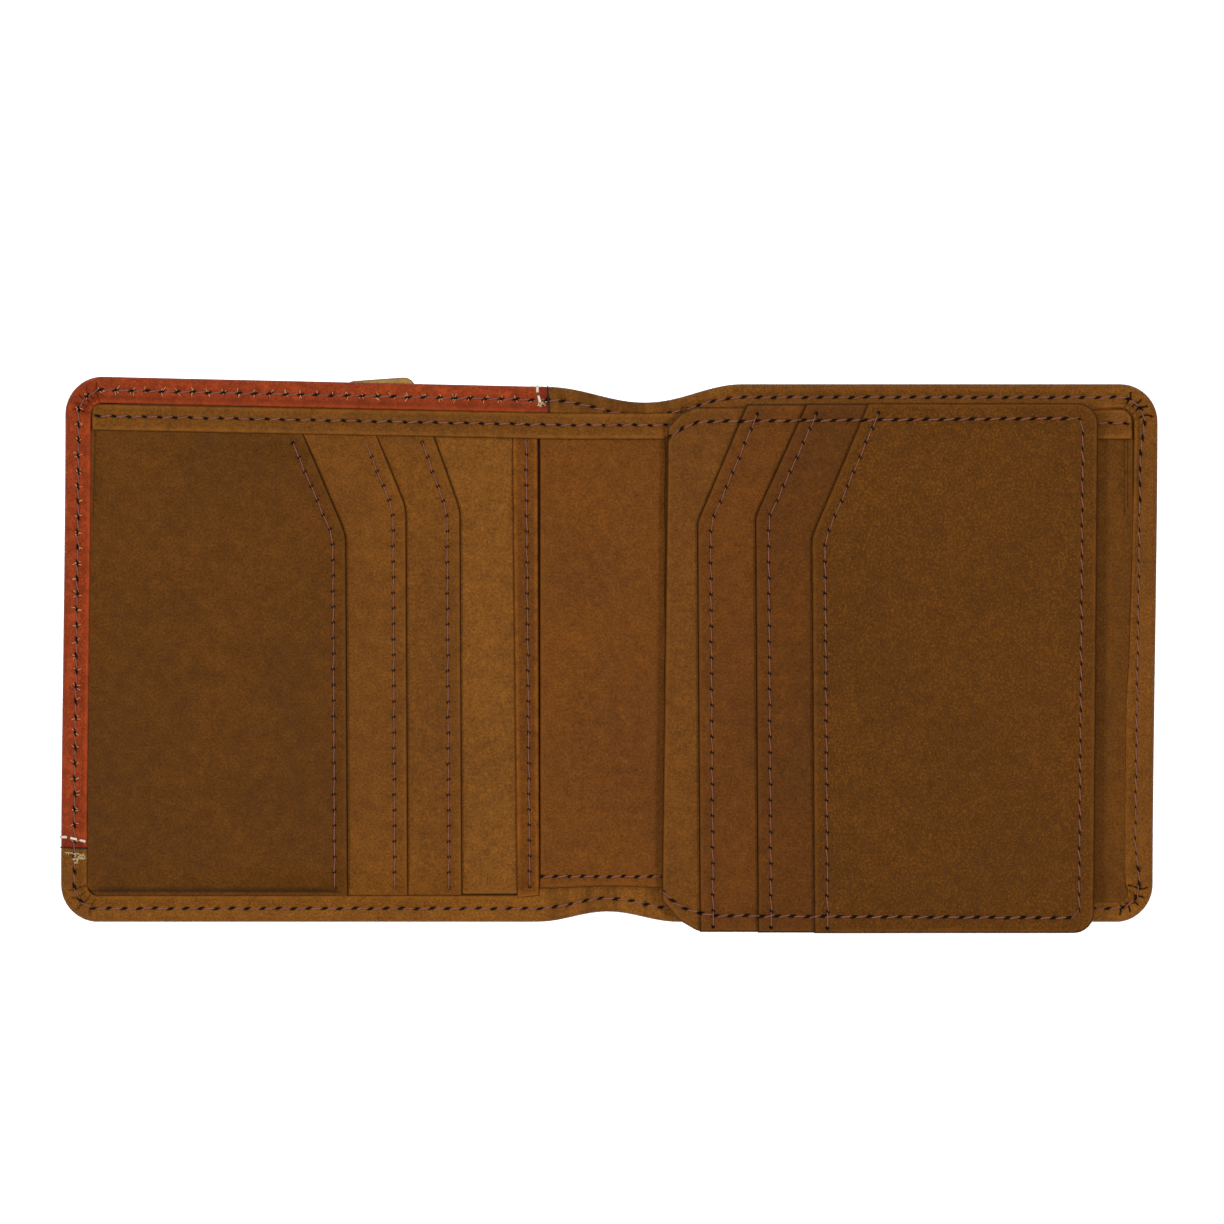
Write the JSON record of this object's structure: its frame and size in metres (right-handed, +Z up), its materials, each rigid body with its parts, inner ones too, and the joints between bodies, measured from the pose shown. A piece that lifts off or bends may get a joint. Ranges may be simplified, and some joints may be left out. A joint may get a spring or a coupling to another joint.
{
  "type": "bifold wallet",
  "caption": "Leather bifold wallet lying open, with a turned-edge cover, a creased spine, slanted card pockets, a flip page of card slots and a full-length note pocket.",
  "frame": {"origin": "centre of the open wallet's bounding box, on the surface that it lies on", "axes": "+X across the open wallet from the front cover to the back cover; +Y towards the note pocket's mouth; +Z up, out of the interior"},
  "size_m": [0.203, 0.1028, 0.0098],
  "materials": {
    "brown_leather": "matte waxed leather",
    "dark_brown_leather": "matte waxed leather",
    "olive_tan_leather": "matte waxed leather",
    "reddish_brown_leather": "matte waxed leather",
    "orange_red_leather": "semi-matte waxed leather",
    "tan_leather": "matte leather",
    "lining_fabric": "matte woven lining",
    "stiffener_board": "matte board",
    "mauve_thread": "twisted thread",
    "white_thread": "twisted thread"
  },
  "bodies": {
    "right_half": {"cover_back": "brown_leather", "stiffener_back": "stiffener_board", "note_lining_back": "lining_fabric", "pocket_back_back": "lining_fabric", "base_panel_back": "olive_tan_leather", "top_binding_back": "olive_tan_leather", "top_binding_seam_back": "mauve_thread", "edge_seam_back": "mauve_thread"},
    "spine_a": {"cover_spine_a": "brown_leather"},
    "spine_b": {"cover_spine_b": "brown_leather", "note_lining_spine": "lining_fabric", "centre_strip": "reddish_brown_leather", "centre_strip_seam": "mauve_thread", "top_binding_spine": "olive_tan_leather", "top_binding_seam_spine": "mauve_thread", "edge_seam_spine_bottom": "mauve_thread", "edge_seam_spine_top": "mauve_thread"},
    "spine_c": {"cover_spine_c": "brown_leather"},
    "left_half": {"cover_front_red": "orange_red_leather", "cover_front_band": "brown_leather", "edge_tab": "tan_leather", "stiffener_front": "stiffener_board", "note_lining_front": "lining_fabric", "pocket_back_front": "lining_fabric", "base_panel_front": "olive_tan_leather", "card_pocket_1": "dark_brown_leather", "card_pocket_2": "brown_leather", "card_pocket_3": "brown_leather", "card_pocket_seam_1": "mauve_thread", "card_pocket_seam_2": "mauve_thread", "card_pocket_seam_3": "mauve_thread", "edge_binding_front": "reddish_brown_leather", "edge_binding_seam": "mauve_thread", "top_binding_front": "olive_tan_leather", "top_binding_seam_front": "mauve_thread", "edge_seam_front": "mauve_thread", "panel_seam_side": "white_thread", "panel_seam_top": "white_thread"},
    "page": {"page_back": "brown_leather", "page_board": "stiffener_board", "page_base": "olive_tan_leather", "page_slot_1": "brown_leather", "page_slot_2": "reddish_brown_leather", "page_slot_3": "dark_brown_leather", "page_slot_seam_1": "mauve_thread", "page_slot_seam_2": "mauve_thread", "page_slot_seam_3": "mauve_thread", "page_edge_seam": "mauve_thread", "page_hinge_strip": "dark_brown_leather"}
  },
  "joints": [
    {"name": "crease_1", "type": "hinge", "parent": "right_half", "child": "spine_a", "pos_m": [0.01005, 0, 0.0005], "axis": [0, 1, 0], "range_deg": [0, 45]},
    {"name": "crease_2", "type": "hinge", "parent": "spine_a", "child": "spine_b", "pos_m": [0.0029, 0, 0.0005], "axis": [0, 1, 0], "range_deg": [0, 45], "deforming": ["note_lining_spine", "centre_strip", "centre_strip_seam"]},
    {"name": "crease_3", "type": "hinge", "parent": "spine_b", "child": "spine_c", "pos_m": [-0.00425, 0, 0.0005], "axis": [0, 1, 0], "range_deg": [0, 45], "deforming": ["top_binding_spine", "top_binding_seam_spine", "edge_seam_spine_bottom", "edge_seam_spine_top"]},
    {"name": "crease_4", "type": "hinge", "parent": "spine_c", "child": "left_half", "pos_m": [-0.0114, 0, 0.0005], "axis": [0, 1, 0], "range_deg": [0, 45]},
    {"name": "page_turn", "type": "hinge", "parent": "right_half", "child": "page", "pos_m": [0.0108, 0, 0.0081], "axis": [0, 1, 0], "range_deg": [-178, 0], "deforming": ["page_hinge_strip"]}
  ]
}
